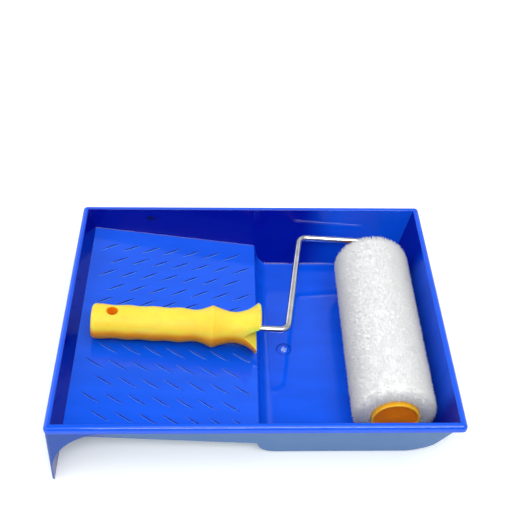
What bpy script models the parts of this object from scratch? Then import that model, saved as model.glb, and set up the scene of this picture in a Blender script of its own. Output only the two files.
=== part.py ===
"""Paint roller tray with its roller lying in it, one named object per moulding, rod or sleeve part.

The tray stands on the ground plane. X runs from the ramp to the well, Y from front to back.
The roller hangs on an empty at the sleeve's axle, tilted so that the grip rests on the ramp.
"""
import math

import bmesh
import bpy
from mathutils import Vector

MM = 0.001

# Gaps between pieces, and how far cutting tools run past the faces they cut
SEAT_GAP = 0.3 * MM          # pieces that rest on or turn in one another
CUT_PAST = 5 * MM

# Tray walls and rim
WALL = 2.3 * MM
FLOOR_DEPTH = 57 * MM        # rim top down to the inside of the well
RIM_TOP = FLOOR_DEPTH + WALL
RIM_LENGTH = 320 * MM
RIM_WIDTH = 255 * MM
RIM_HEIGHT = 5.5 * MM
RIM_EDGE_RADIUS = 2.2 * MM
RIM_CORNER_RADIUS = 4 * MM
LIP_WIDTH = 5.3 * MM
LIP_CHAMFER = 0.7 * MM
SIDE_DRAFT = 0.26            # inward run per depth of the front and back walls
END_DRAFT = 0.295            # inward run per depth of the two end walls
LIP_END_X = RIM_LENGTH / 2 - LIP_WIDTH
LIP_SIDE_Y = RIM_WIDTH / 2 - LIP_WIDTH

# Tray ramp, step and floor corners
RAMP_TOP_DEPTH = 18.8 * MM
RAMP_TOP_X = RAMP_TOP_DEPTH * END_DRAFT - LIP_END_X
RAMP_FOOT_X = 2.8 * MM       # past the middle of the tray
STEP_HEIGHT = 19.4 * MM      # ramp's foot above the floor of the well
STEP_DRAFT = 0.2
STEP_FILLET = 12 * MM
RAMP_FOOT_DEPTH = FLOOR_DEPTH - STEP_HEIGHT
RAMP_SLOPE = (RAMP_FOOT_DEPTH - RAMP_TOP_DEPTH) / (RAMP_FOOT_X - RAMP_TOP_X)
RAMP_CORNER_RADIUS = 1 * MM
FLOOR_CORNER_RADIUS = 3 * MM
END_CORNER_RADIUS = 6 * MM

# Ribs on the ramp: as many as fit at their pitch
RIB_LENGTH = 20 * MM
RIB_ANGLE = math.radians(31.5)
RIB_WIDTH = 2.4 * MM
RIB_HEIGHT = 1.6 * MM
RIB_ROOT = 0.8 * MM          # how far a rib is sunk into the ramp
RIB_PITCH_X = 18.75 * MM
RIB_PITCH_Y = 17.2 * MM
RIB_SETBACK = 8.3 * MM       # first ribs from the top of the ramp
RIB_MARGIN = 3 * MM          # kept bare along the ramp's foot and sides
RIB_FIRST_Y = 4.4 * MM       # inner ends of the two middle rows, from the pattern's middle
RIB_CENTRE_Y = -3 * MM       # the pattern sits a little toward the front

# Gate mark in the well
GATE_X = 27.5 * MM
GATE_Y = -2.5 * MM
GATE_RECESS_RADIUS = 6.9 * MM
GATE_RECESS_DEPTH = 0.4 * MM
GATE_NUB_RADIUS = 3.4 * MM
GATE_NUB_HEIGHT = 0.7 * MM

# End skirt and corner legs under the ramp end
SKIRT_INSET = 0.8 * MM       # below the rim's outer face
SKIRT_SPLAY = 5.2 * MM       # the feet stand this far outside the rim, front and back
SKIRT_CORNER_RADIUS = 3 * MM
LEG_LENGTH = 52 * MM         # the leg's curve dies into the rim this far from the end
LEG_ARCH_DEPTH = 48 * MM     # foot of the curve below the rim's top
LEG_TUCK = 0.5 * MM          # thin end of the curve inside the rim
LEG_ARCH_RISE = LEG_ARCH_DEPTH - RIM_HEIGHT + LEG_TUCK
LEG_ARCH_X = LEG_LENGTH - RIM_LENGTH / 2

# Sleeve cross-section
ROD_RADIUS = 3 * MM
BORE_RADIUS = ROD_RADIUS + SEAT_GAP
CORE_RADIUS = 21.5 * MM
CORE_WALL = 2 * MM
CORE_CHAMFER = 0.5 * MM
PILE_RADIUS = 33 * MM       # pile as it packs, without its loose tips
PILE_EDGE_RADIUS = 7 * MM
PILE_OVERHANG = 1 * MM       # pile past each end of the core
CAP_RADIUS = CORE_RADIUS - CORE_WALL - SEAT_GAP
CAP_WALL = 2 * MM
CAP_PROUD = 4 * MM           # cap rim past the core's end
CAP_PLUG = 10 * MM           # cap skirt inside the core
CAP_DISH = 1.2 * MM
CAP_EDGE_RADIUS = 0.8 * MM
HUB_RADIUS = 6 * MM
HUB_LENGTH = 13 * MM
NUT_RADIUS = 7.5 * MM
NUT_THICKNESS = 0.7 * MM
NUT_DISH = 1.2 * MM

# The well's end is rounded up from its floor, and the sleeve lies in it
END_FILLET = 22 * MM
PILE_GAP = 2 * MM            # under the packed pile, taken up by loose fibre tips
END_GAP = 3.6 * MM           # end wall to the packed pile
END_FILLET_X = LIP_END_X - (FLOOR_DEPTH - END_FILLET) * END_DRAFT - END_FILLET * math.hypot(1, END_DRAFT)
AXLE_HEIGHT = WALL + PILE_GAP + PILE_RADIUS
AXLE_X = (LIP_END_X - (RIM_TOP - AXLE_HEIGHT) * END_DRAFT
          - (PILE_RADIUS + END_GAP) * math.hypot(1, END_DRAFT))

# Crossbar and sleeve ends, set back from the tray's two side walls
BACK_CLEARANCE = 14.6 * MM   # back wall at the axle's height to the crossbar's middle
FRONT_CLEARANCE = 2.9 * MM   # foot of the front wall to the near cap's rim
AXLE_STUB = 27.2 * MM        # crossbar's middle to the core
CROSSBAR_Y = LIP_SIDE_Y - (RIM_TOP - AXLE_HEIGHT) * SIDE_DRAFT - BACK_CLEARANCE
CORE_FAR_Y = CROSSBAR_Y - AXLE_STUB
CORE_NEAR_Y = FLOOR_DEPTH * SIDE_DRAFT - LIP_SIDE_Y + FRONT_CLEARANCE + CAP_PROUD

# Grip, lengths measured from its butt
GRIP_RADIUS = 14.7 * MM
GRIP_DIP_RADIUS = 14 * MM
GRIP_WAVE = 21.8 * MM
GRIP_WAVE_START = 8.5 * MM
GRIP_WAVE_COUNT = 3
BUTT_EDGE_RADIUS = 3.5 * MM
NECK_RUN = 14.1 * MM         # last wave to the thin neck, and so on to the mouth
NECK_RADIUS = 13.5 * MM
COLLAR_RUN = 13 * MM
COLLAR_RADIUS = 17.9 * MM
WAIST_RUN = 16.5 * MM
WAIST_RADIUS = 13.2 * MM
FLARE_RUN = 23.8 * MM
FLARE_RADIUS = 21.8 * MM
FLARE_EDGE = 2.2 * MM
HANG_HOLE_AT = 17.3 * MM
HANG_HOLE_RADIUS = 4.6 * MM
SLOT_LENGTH = 14.8 * MM      # V slot across the flare, which leaves two petals
SLOT_RAISE = 3.8 * MM        # foot of the slot above the rod's middle
SLOT_RISE = 13.5 * MM        # climb of its upper side to the mouth
SLOT_FALL = 9.5 * MM         # drop of its lower side to the mouth
PETAL_SETBACK = 2.5 * MM     # lower petal ends short of the upper one
NECK_AT = GRIP_WAVE_START + GRIP_WAVE_COUNT * GRIP_WAVE + NECK_RUN
COLLAR_AT = NECK_AT + COLLAR_RUN
WAIST_AT = COLLAR_AT + WAIST_RUN
GRIP_LENGTH = WAIST_AT + FLARE_RUN

# Wire frame, measured from the axle: X toward the grip is negative
BUTT_CLEARANCE = 12.2 * MM   # top of the ramp to the grip's butt
GRIP_Y = -15.5 * MM
TANG_LENGTH = 57 * MM        # rod inside the grip
STUB_LENGTH = 24 * MM        # rod from the grip's mouth to the arm
ARM_LEAN = 16.5 * MM
BEND_RADIUS = 8 * MM
AXLE_BEND_RADIUS = 10 * MM
ROD_CHAMFER = 0.7 * MM
GRIP_BUTT_X = RAMP_TOP_X + BUTT_CLEARANCE - AXLE_X
GRIP_MOUTH_X = GRIP_BUTT_X + GRIP_LENGTH
ARM_FOOT_X = GRIP_MOUTH_X + STUB_LENGTH
ARM_TOP_X = ARM_FOOT_X + ARM_LEAN

# Facets round turned pieces
GRIP_FACETS = 32
SLEEVE_FACETS = 48
CAP_FACETS = 40
ROD_FACETS = 16
HOLE_FACETS = 24


def clear_scene():
    """Remove every object of the start-up scene."""
    for item in list(bpy.data.objects):
        bpy.data.objects.remove(item, do_unlink=True)


def surface(name, colour, roughness, metallic=0.0):
    """One Principled material."""
    material = bpy.data.materials.new(name)
    material.use_nodes = True
    shader = material.node_tree.nodes["Principled BSDF"]
    shader.inputs["Base Color"].default_value = (*colour, 1.0)
    shader.inputs["Roughness"].default_value = roughness
    shader.inputs["Metallic"].default_value = metallic
    return material


def add_object(name, build):
    """Make a mesh object from a bmesh, with its faces turned outward."""
    bmesh.ops.recalc_face_normals(build, faces=build.faces)
    mesh = bpy.data.meshes.new(name)
    build.to_mesh(mesh)
    build.free()
    item = bpy.data.objects.new(name, mesh)
    bpy.context.scene.collection.objects.link(item)
    return item


def skin(build, rings):
    """Skin a row of rings with equal point counts and close both ends."""
    rows = [[build.verts.new(point) for point in ring] for ring in rings]
    count = len(rows[0])
    for row, following in zip(rows, rows[1:]):
        for i in range(count):
            j = (i + 1) % count
            build.faces.new((row[i], row[j], following[j], following[i]))
    build.faces.new(rows[0])
    build.faces.new(rows[-1])


def loft(name, rings):
    """One solid skinned over a row of rings."""
    build = bmesh.new()
    skin(build, rings)
    return add_object(name, build)


def turn(name, profile, facets, axis, closed=False):
    """Turn a profile of (radius, along) points about X, Y or Z; radius zero ends on the axis."""
    build = bmesh.new()
    rows = []
    for radius, along in profile:
        row = []
        for i in range(facets if radius > 0 else 1):
            angle = math.tau * i / facets
            side, up = radius * math.cos(angle), radius * math.sin(angle)
            place = {"X": (along, side, up), "Y": (side, along, up), "Z": (side, up, along)}[axis]
            row.append(build.verts.new(place))
        rows.append(row)
    pairs = list(zip(rows, rows[1:]))
    if closed:
        pairs.append((rows[-1], rows[0]))
    for row, following in pairs:
        for i in range(facets):
            j = (i + 1) % facets
            corners = [row[i % len(row)], row[j % len(row)],
                       following[j % len(following)], following[i % len(following)]]
            build.faces.new(list(dict.fromkeys(corners)))
    return add_object(name, build)


def drill(name, radius, start, end, axis):
    """Plain round tool from start to end along an axis."""
    return turn(name, [(0, start), (radius, start), (radius, end), (0, end)], HOLE_FACETS, axis)


def arc(centre, radius, start, end, steps):
    """Points on a circle in a plane, both ends included, angles in degrees."""
    angles = [math.radians(start + (end - start) * i / steps) for i in range(steps + 1)]
    return [(centre[0] + radius * math.cos(a), centre[1] + radius * math.sin(a)) for a in angles]


def combine(body, tool, operation):
    """Join a tool to a piece, or cut it away, and drop the tool."""
    step = body.modifiers.new(operation, "BOOLEAN")
    step.operation = operation
    step.solver = "EXACT"
    step.object = tool
    bpy.context.view_layer.update()
    shaped = body.evaluated_get(bpy.context.evaluated_depsgraph_get())
    mesh = bpy.data.meshes.new_from_object(shaped)
    body.modifiers.clear()
    body.data = mesh
    bpy.data.objects.remove(tool, do_unlink=True)


def finish(item, material, parent=None, smooth_angle=None):
    """Give a piece its material, its parent and, if it is round, smooth shading."""
    item.data.materials.clear()
    item.data.materials.append(material)
    if smooth_angle is not None:
        item.data.shade_smooth()
        item.data.set_sharp_from_angle(angle=math.radians(smooth_angle))
    if parent is not None:
        item.parent = parent


def rounded_rectangle(half_x, half_y, radius, height, steps=5):
    """Ring of points round a rectangle with rounded corners."""
    ring = []
    for sign_x, sign_y, start in ((1, 1, 0), (-1, 1, 90), (-1, -1, 180), (1, -1, 270)):
        centre = (sign_x * (half_x - radius), sign_y * (half_y - radius))
        ring += [(x, y, height) for x, y in arc(centre, radius, start, start + 90, steps)]
    return ring


def tray_profile():
    """Inside of the tray along its middle: (x, depth, corner radius) from ramp end to well end."""
    above = CUT_PAST / 2
    points = [(-LIP_END_X - above * END_DRAFT, -above, RAMP_CORNER_RADIUS),
              (RAMP_TOP_X, RAMP_TOP_DEPTH, RAMP_CORNER_RADIUS),
              (RAMP_FOOT_X, RAMP_FOOT_DEPTH, RAMP_CORNER_RADIUS)]
    lean = math.degrees(math.atan(STEP_DRAFT))
    fillet = min(STEP_FILLET, 0.8 * STEP_HEIGHT)
    fillet_depth = FLOOR_DEPTH - fillet
    fillet_x = (RAMP_FOOT_X + (fillet_depth - RAMP_FOOT_DEPTH) * STEP_DRAFT
                + fillet * math.hypot(1, STEP_DRAFT))
    for x, depth in arc((fillet_x, fillet_depth), fillet, 180 - lean, 90, 6):
        points.append((x, depth, FLOOR_CORNER_RADIUS))
    end_lean = math.degrees(math.atan(END_DRAFT))
    end_centre = (END_FILLET_X, FLOOR_DEPTH - END_FILLET)
    for i, (x, depth) in enumerate(arc(end_centre, END_FILLET, 90, end_lean, 12)):
        blend = min(1.0, i / 5)
        radius = FLOOR_CORNER_RADIUS + blend * (END_CORNER_RADIUS - FLOOR_CORNER_RADIUS)
        points.append((x, depth, radius))
    points.append((LIP_END_X + above * END_DRAFT, -above, FLOOR_CORNER_RADIUS))
    return points


def offset_profile(points, distance):
    """Move a profile outward (down and away) by the wall thickness, mitred at its corners."""
    moved = []
    for i, (x, depth, radius) in enumerate(points):
        before = points[max(i - 1, 0)]
        after = points[min(i + 1, len(points) - 1)]
        normals = []
        for start, end in ((before, points[i]), (points[i], after)):
            run = Vector((end[0] - start[0], end[1] - start[1]))
            if run.length > 0:
                normals.append(Vector((-run.y, run.x)).normalized())
        mitre = sum(normals, Vector((0, 0))).normalized()
        reach = distance / mitre.dot(normals[0])
        moved.append((x + mitre.x * reach, depth + mitre.y * reach, radius + distance))
    return moved


def basin_section(x, depth, corner_radius, side_at_rim, top_depth):
    """Cross-section of the basin at one x: a drafted trough with rounded lower corners."""
    steps = 4
    fall = depth - top_depth
    radius = min(corner_radius, fall * 0.6)
    lean = math.degrees(math.atan(SIDE_DRAFT))
    floor_half = side_at_rim - depth * SIDE_DRAFT
    inset = radius * (math.hypot(1, SIDE_DRAFT) - SIDE_DRAFT)
    half = [(side_at_rim - top_depth * SIDE_DRAFT, top_depth)]
    half += arc((floor_half - inset, depth - radius), radius, -lean, 90, steps)
    ring = [(x, y, RIM_TOP - d) for y, d in half]
    return ring + [(x, -y, z) for _, y, z in reversed(ring)]


def build_rim():
    """The flat rim as a plate with a rounded outer edge; the basin is cut from it later."""
    rings = [rounded_rectangle(RIM_LENGTH / 2, RIM_WIDTH / 2, RIM_CORNER_RADIUS, RIM_TOP - RIM_HEIGHT)]
    for inset, rise in arc((RIM_EDGE_RADIUS, 0), RIM_EDGE_RADIUS, 180, 90, 4):
        rings.append(rounded_rectangle(RIM_LENGTH / 2 - inset, RIM_WIDTH / 2 - inset,
                                       RIM_CORNER_RADIUS - inset, RIM_TOP - RIM_EDGE_RADIUS + rise))
    return loft("tray", rings)


def build_bowl(inside):
    """Outside of the basin: its inner profile moved out by the wall, ending inside the rim."""
    top = RIM_HEIGHT / 2
    ends = (RIM_HEIGHT + top) / 2
    wall_x = LIP_END_X + WALL * math.hypot(1, END_DRAFT) - ends * END_DRAFT
    outside = [(-wall_x, ends, RAMP_CORNER_RADIUS),
               *offset_profile(inside, WALL)[1:-1],
               (wall_x, ends, RAMP_CORNER_RADIUS)]
    return loft("bowl", [basin_section(*point, LIP_SIDE_Y + WALL, top) for point in outside])


def build_tray():
    """The tray: rim, bowl and skirt joined, the basin cut out, then gate mark and ribs."""
    inside = tray_profile()
    tray = build_rim()
    combine(tray, build_bowl(inside), "UNION")
    combine(tray, build_skirt(), "UNION")
    basin = loft("basin", [basin_section(*point, LIP_SIDE_Y, -CUT_PAST) for point in inside])
    combine(tray, basin, "DIFFERENCE")
    combine(tray, build_lip_chamfer(), "DIFFERENCE")

    sunk = WALL - GATE_RECESS_DEPTH
    recess = drill("gate_recess", GATE_RECESS_RADIUS, sunk, WALL + CUT_PAST, "Z")
    dome = [(GATE_NUB_RADIUS * math.cos(a), sunk + GATE_NUB_HEIGHT * math.sin(a))
            for a in (0, math.pi / 6, math.pi / 3)]
    nub_profile = [(0, WALL / 2), (GATE_NUB_RADIUS, WALL / 2), *dome, (0, sunk + GATE_NUB_HEIGHT)]
    nub = turn("gate_nub", nub_profile, HOLE_FACETS, "Z")
    for tool, operation in ((recess, "DIFFERENCE"), (nub, "UNION")):
        tool.location = (GATE_X, GATE_Y, 0)
        combine(tray, tool, operation)
    combine(tray, build_ribs(), "UNION")
    return tray


def build_lip_chamfer():
    """Tool that breaks the sharp inner edge of the rim."""
    rings = []
    for depth, grow in ((LIP_CHAMFER, 0), (-CUT_PAST, LIP_CHAMFER + CUT_PAST)):
        half_x = LIP_END_X - LIP_CHAMFER * END_DRAFT + grow
        half_y = LIP_SIDE_Y - LIP_CHAMFER * SIDE_DRAFT + grow
        rings.append([(half_x, half_y, RIM_TOP - depth), (-half_x, half_y, RIM_TOP - depth),
                      (-half_x, -half_y, RIM_TOP - depth), (half_x, -half_y, RIM_TOP - depth)])
    return loft("lip_chamfer", rings)


def skirt_ring(end_x, side_y, height):
    """Outline of the skirt's wall at one height: a U open toward the well."""
    corner_x = end_x + SKIRT_CORNER_RADIUS
    corner_y = side_y - SKIRT_CORNER_RADIUS
    open_x = LEG_ARCH_X + WALL
    outline = [(open_x, -side_y)]
    outline += arc((corner_x, -corner_y), SKIRT_CORNER_RADIUS, 270, 180, 4)
    outline += arc((corner_x, corner_y), SKIRT_CORNER_RADIUS, 180, 90, 4)
    outline += [(open_x, side_y), (open_x, side_y - WALL)]
    inner_radius = SKIRT_CORNER_RADIUS - WALL
    outline += arc((corner_x, corner_y), inner_radius, 90, 180, 2)
    outline += arc((corner_x, -corner_y), inner_radius, 180, 270, 2)
    outline.append((open_x, -side_y + WALL))
    return [(x, y, height) for x, y in outline]


def build_skirt():
    """End skirt with front and back aprons that splay to the ground, cut to swept legs."""
    skirt = loft("skirt", [
        skirt_ring(SKIRT_INSET - RIM_LENGTH / 2, RIM_WIDTH / 2 - SKIRT_INSET, RIM_TOP - RIM_HEIGHT / 2),
        skirt_ring(-RIM_LENGTH / 2, RIM_WIDTH / 2 + SKIRT_SPLAY, 0)])
    run = LEG_LENGTH - WALL
    foot = RIM_TOP - LEG_ARCH_DEPTH
    outline = []
    for degrees in range(0, 91, 6):
        angle = math.radians(degrees)
        outline.append((LEG_ARCH_X - run * math.cos(angle), foot + LEG_ARCH_RISE * math.sin(angle)))
    beyond = LEG_ARCH_X + WALL + CUT_PAST
    outline += [(beyond, outline[-1][1]), (beyond, -CUT_PAST), (outline[0][0], -CUT_PAST)]
    reach_y = RIM_WIDTH / 2 + SKIRT_SPLAY + CUT_PAST
    arch = loft("leg_arch", [[(x, y, z) for x, z in outline] for y in (-reach_y, reach_y)])
    combine(skirt, arch, "DIFFERENCE")
    return skirt


def ramp_height(x):
    """Height of the ramp's surface at one x."""
    return RIM_TOP - RAMP_TOP_DEPTH - (x - RAMP_TOP_X) * RAMP_SLOPE


def rib_rings(start_x, start_y, away):
    """Rings of one slanted rib: a low ridge that thins to a point at both ends."""
    rings = []
    along = Vector((math.cos(RIB_ANGLE), away * math.sin(RIB_ANGLE)))
    across = Vector((-along.y, along.x))
    for share in (0.0, 0.12, 0.35, 0.65, 0.88, 1.0):
        swell = 0.18 + 0.82 * math.sin(math.pi * share) ** 0.7
        middle = Vector((start_x, start_y)) + along * (RIB_LENGTH * share)
        section = ((-0.5, -RIB_ROOT), (-0.5, 0), (-0.2, RIB_HEIGHT * swell),
                   (0.2, RIB_HEIGHT * swell), (0.5, 0), (0.5, -RIB_ROOT))
        ring = []
        for side, rise in section:
            spot = middle + across * (side * RIB_WIDTH * swell)
            ring.append((spot.x, spot.y, ramp_height(spot.x) + rise))
        rings.append(ring)
    return rings


def build_ribs():
    """All ribs of the ramp in one tool: a herringbone with every other row staggered."""
    build = bmesh.new()
    run_x = RIB_LENGTH * math.cos(RIB_ANGLE)
    run_y = RIB_LENGTH * math.sin(RIB_ANGLE)
    ramp_side = LIP_SIDE_Y - RAMP_FOOT_DEPTH * SIDE_DRAFT - RIB_MARGIN - abs(RIB_CENTRE_Y)
    rows_per_side = int((ramp_side - RIB_FIRST_Y - run_y) / RIB_PITCH_Y) + 1
    for away in (1, -1):
        for rank in range(rows_per_side):
            start_y = RIB_CENTRE_Y + away * (RIB_FIRST_Y + rank * RIB_PITCH_Y)
            start_x = RAMP_TOP_X + RIB_SETBACK
            if (rank % 2 == 0) == (away > 0):
                start_x += RIB_PITCH_X / 2
            count = int((RAMP_FOOT_X - RIB_MARGIN - run_x - start_x) / RIB_PITCH_X) + 1
            for i in range(count):
                skin(build, rib_rings(start_x + i * RIB_PITCH_X, start_y, away))
    return add_object("ribs", build)


def smooth_curve(points, steps):
    """Catmull-Rom curve through profile points, sharp where a point is marked so."""
    curve = []
    for i in range(len(points) - 1):
        first, second = points[i], points[i + 1]
        before = points[i - 1] if i > 0 and not first[2] else first
        after = points[i + 2] if i + 2 < len(points) and not second[2] else second
        for step in range(steps):
            t = step / steps
            spot = []
            for k in (0, 1):
                spot.append(0.5 * (2 * first[k] + (second[k] - before[k]) * t
                                   + (2 * before[k] - 5 * first[k] + 4 * second[k] - after[k]) * t ** 2
                                   + (3 * first[k] - before[k] - 3 * second[k] + after[k]) * t ** 3))
            curve.append(tuple(spot))
    curve.append(points[-1][:2])
    return curve


def grip_profile():
    """Half section of the grip as (radius, along) from its butt to its mouth."""
    shape = [(GRIP_RADIUS, BUTT_EDGE_RADIUS, False)]
    for wave in range(GRIP_WAVE_COUNT):
        crest = GRIP_WAVE_START + wave * GRIP_WAVE
        shape.append((GRIP_RADIUS, crest, False))
        shape.append((GRIP_DIP_RADIUS, crest + GRIP_WAVE / 2, False))
    flare_foot = WAIST_RADIUS + 0.3 * (FLARE_RADIUS - WAIST_RADIUS)
    shape += [(GRIP_RADIUS, NECK_AT - NECK_RUN, False),
              (NECK_RADIUS, NECK_AT, False),
              (COLLAR_RADIUS, COLLAR_AT, True),
              (WAIST_RADIUS, WAIST_AT, False),
              (flare_foot, WAIST_AT + 0.55 * FLARE_RUN, False),
              (FLARE_RADIUS, GRIP_LENGTH - FLARE_EDGE, True)]
    butt = arc((GRIP_RADIUS - BUTT_EDGE_RADIUS, BUTT_EDGE_RADIUS), BUTT_EDGE_RADIUS, -90, 0, 4)
    mouth = arc((FLARE_RADIUS - FLARE_EDGE, GRIP_LENGTH - FLARE_EDGE), FLARE_EDGE, 0, 90, 3)
    return [(0, 0), *butt[:-1], *smooth_curve(shape, 3), *mouth[1:], (0, GRIP_LENGTH)]


def build_grip():
    """The grip, turned about the rod's tang, then bored, drilled and slotted at its mouth."""
    profile = [(radius, GRIP_BUTT_X + along) for radius, along in grip_profile()]
    grip = turn("grip", profile, GRIP_FACETS, "X")

    socket_end = GRIP_MOUTH_X - TANG_LENGTH - SEAT_GAP
    combine(grip, drill("socket", BORE_RADIUS, socket_end, GRIP_MOUTH_X + CUT_PAST, "X"), "DIFFERENCE")

    reach = GRIP_RADIUS + CUT_PAST
    hole = drill("hang_hole", HANG_HOLE_RADIUS, -reach, reach, "Z")
    hole.location = (GRIP_BUTT_X + HANG_HOLE_AT, 0, 0)
    combine(grip, hole, "DIFFERENCE")

    slot_x = GRIP_MOUTH_X - SLOT_LENGTH
    beyond = GRIP_MOUTH_X + CUT_PAST
    spread = (beyond - slot_x) / SLOT_LENGTH
    petal_end = GRIP_MOUTH_X - PETAL_SETBACK
    width = FLARE_RADIUS + CUT_PAST
    slot = [(slot_x, SLOT_RAISE), (beyond, SLOT_RAISE - SLOT_FALL * spread),
            (beyond, SLOT_RAISE + SLOT_RISE * spread)]
    trim = [(petal_end, SLOT_RAISE), (petal_end, -width), (beyond, -width), (beyond, SLOT_RAISE)]
    for name, outline in (("slot", slot), ("trim", trim)):
        rings = [[(x, y, z) for x, z in outline] for y in (-width, width)]
        combine(grip, loft(name, rings), "DIFFERENCE")
    grip.location = (0, GRIP_Y, 0)
    return grip


def rounded_path(corners, radii, steps):
    """Path in a plane through corners rounded to the given radii; returns (point, direction)."""
    path = [(corners[0], (corners[1] - corners[0]).normalized())]
    for before, corner, after, radius in zip(corners, corners[1:], corners[2:], radii):
        inward = (corner - before).normalized()
        outward = (after - corner).normalized()
        turn_angle = inward.angle_signed(outward)
        cut = radius * math.tan(abs(turn_angle) / 2)
        spot = corner - inward * cut
        side = Vector((-inward.y, inward.x)) * (-1 if turn_angle > 0 else 1)
        centre = spot + side * radius
        for step in range(steps + 1):
            swing = -turn_angle * step / steps
            spoke = spot - centre
            turned = Vector((spoke.x * math.cos(swing) - spoke.y * math.sin(swing),
                             spoke.x * math.sin(swing) + spoke.y * math.cos(swing)))
            heading = Vector((inward.x * math.cos(swing) - inward.y * math.sin(swing),
                              inward.x * math.sin(swing) + inward.y * math.cos(swing)))
            path.append((centre + turned, heading))
    path.append((corners[-1], (corners[-1] - corners[-2]).normalized()))
    return path


def build_wire_frame():
    """The bent rod from the tang in the grip to the axle's tip."""
    tang_x = GRIP_MOUTH_X - TANG_LENGTH
    tip_y = CORE_NEAR_Y - CAP_PROUD + CAP_DISH + CAP_WALL + 2 * SEAT_GAP
    corners = [Vector(spot) for spot in ((tang_x, GRIP_Y), (ARM_FOOT_X, GRIP_Y), (ARM_TOP_X, CROSSBAR_Y),
                                         (0, CROSSBAR_Y), (0, tip_y))]
    path = rounded_path(corners, (BEND_RADIUS, BEND_RADIUS, AXLE_BEND_RADIUS), 8)
    start, end = path[0], path[-1]
    stations = [(start[0], start[1], ROD_RADIUS - ROD_CHAMFER),
                (start[0] + start[1] * ROD_CHAMFER, start[1], ROD_RADIUS)]
    stations += [(spot, heading, ROD_RADIUS) for spot, heading in path[1:-1]]
    stations += [(end[0] - end[1] * ROD_CHAMFER, end[1], ROD_RADIUS),
                 (end[0], end[1], ROD_RADIUS - ROD_CHAMFER)]
    rings = []
    for spot, heading, radius in stations:
        ring = []
        for i in range(ROD_FACETS):
            angle = math.tau * i / ROD_FACETS
            side = radius * math.cos(angle)
            ring.append((spot.x - heading.y * side, spot.y + heading.x * side, radius * math.sin(angle)))
        rings.append(ring)
    return loft("wire_frame", rings)


def build_core_tube():
    """The tube inside the pile."""
    inside = CORE_RADIUS - CORE_WALL
    cut = CORE_CHAMFER
    profile = [(inside, CORE_NEAR_Y),
               (CORE_RADIUS - cut, CORE_NEAR_Y), (CORE_RADIUS, CORE_NEAR_Y + cut),
               (CORE_RADIUS, CORE_FAR_Y - cut), (CORE_RADIUS - cut, CORE_FAR_Y),
               (inside, CORE_FAR_Y)]
    return turn("core_tube", profile, SLEEVE_FACETS, "Y", closed=True)


def build_plush_cover():
    """The pile as one soft solid: a thick sleeve with rounded ends."""
    near, far = CORE_NEAR_Y - PILE_OVERHANG, CORE_FAR_Y + PILE_OVERHANG
    inside = CORE_RADIUS + SEAT_GAP
    edge = PILE_EDGE_RADIUS
    profile = [(inside, near)]
    profile += arc((PILE_RADIUS - edge, near + edge), edge, -90, 0, 5)
    profile += arc((PILE_RADIUS - edge, far - edge), edge, 0, 90, 5)
    profile.append((inside, far))
    return turn("plush_cover", profile, SLEEVE_FACETS, "Y", closed=True)


def cap_profile(bored):
    """Half section of an end cap as (radius, inward from its rim)."""
    bead = CAP_EDGE_RADIUS
    inner = CAP_RADIUS - CAP_WALL
    length = CAP_PROUD + CAP_PLUG
    face = CAP_DISH
    back = CAP_DISH + CAP_WALL
    rim = [(inner, face), *arc((inner + bead, bead), bead, 180, 270, 3),
           *arc((CAP_RADIUS - bead, bead), bead, 270, 360, 3)]
    body = [(CAP_RADIUS, length), (inner, length), (inner, back),
            (HUB_RADIUS, back), (HUB_RADIUS, HUB_LENGTH)]
    if bored:
        return [(BORE_RADIUS, face), *rim, *body, (BORE_RADIUS, HUB_LENGTH)]
    return [(0, face), *rim, *body, (BORE_RADIUS, HUB_LENGTH), (BORE_RADIUS, back), (0, back)]


def build_near_cap():
    """End cap toward the front: closed face, blind socket for the axle's tip."""
    rim_y = CORE_NEAR_Y - CAP_PROUD
    profile = [(radius, rim_y + inward) for radius, inward in cap_profile(bored=False)]
    return turn("near_cap", profile, CAP_FACETS, "Y")


def build_far_cap():
    """End cap toward the crossbar, bored through for the axle."""
    rim_y = CORE_FAR_Y + CAP_PROUD
    profile = [(radius, rim_y - inward) for radius, inward in cap_profile(bored=True)]
    return turn("far_cap", profile, CAP_FACETS, "Y", closed=True)


def build_push_nut():
    """Dished spring washer on the axle, against the far cap's hub inside the core."""
    hub_end = CORE_FAR_Y + CAP_PROUD - HUB_LENGTH - SEAT_GAP
    profile = [(BORE_RADIUS, hub_end - NUT_DISH), (NUT_RADIUS, hub_end - NUT_THICKNESS),
               (NUT_RADIUS, hub_end), (BORE_RADIUS, hub_end - NUT_DISH + NUT_THICKNESS)]
    return turn("push_nut", profile, HOLE_FACETS, "Y", closed=True)


def rest_tilt():
    """Least angle that lays the grip on the ramp's ribs with the sleeve in the well."""
    angles = []
    for radius, along in grip_profile():
        reach = -GRIP_BUTT_X - along
        x = AXLE_X - reach
        if x < RAMP_FOOT_X:
            ground = ramp_height(x) + (RIB_HEIGHT if x < RAMP_FOOT_X - RIB_MARGIN else 0)
            angles.append(math.asin((ground + SEAT_GAP + radius - AXLE_HEIGHT) / reach))
    return max(angles)


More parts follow.
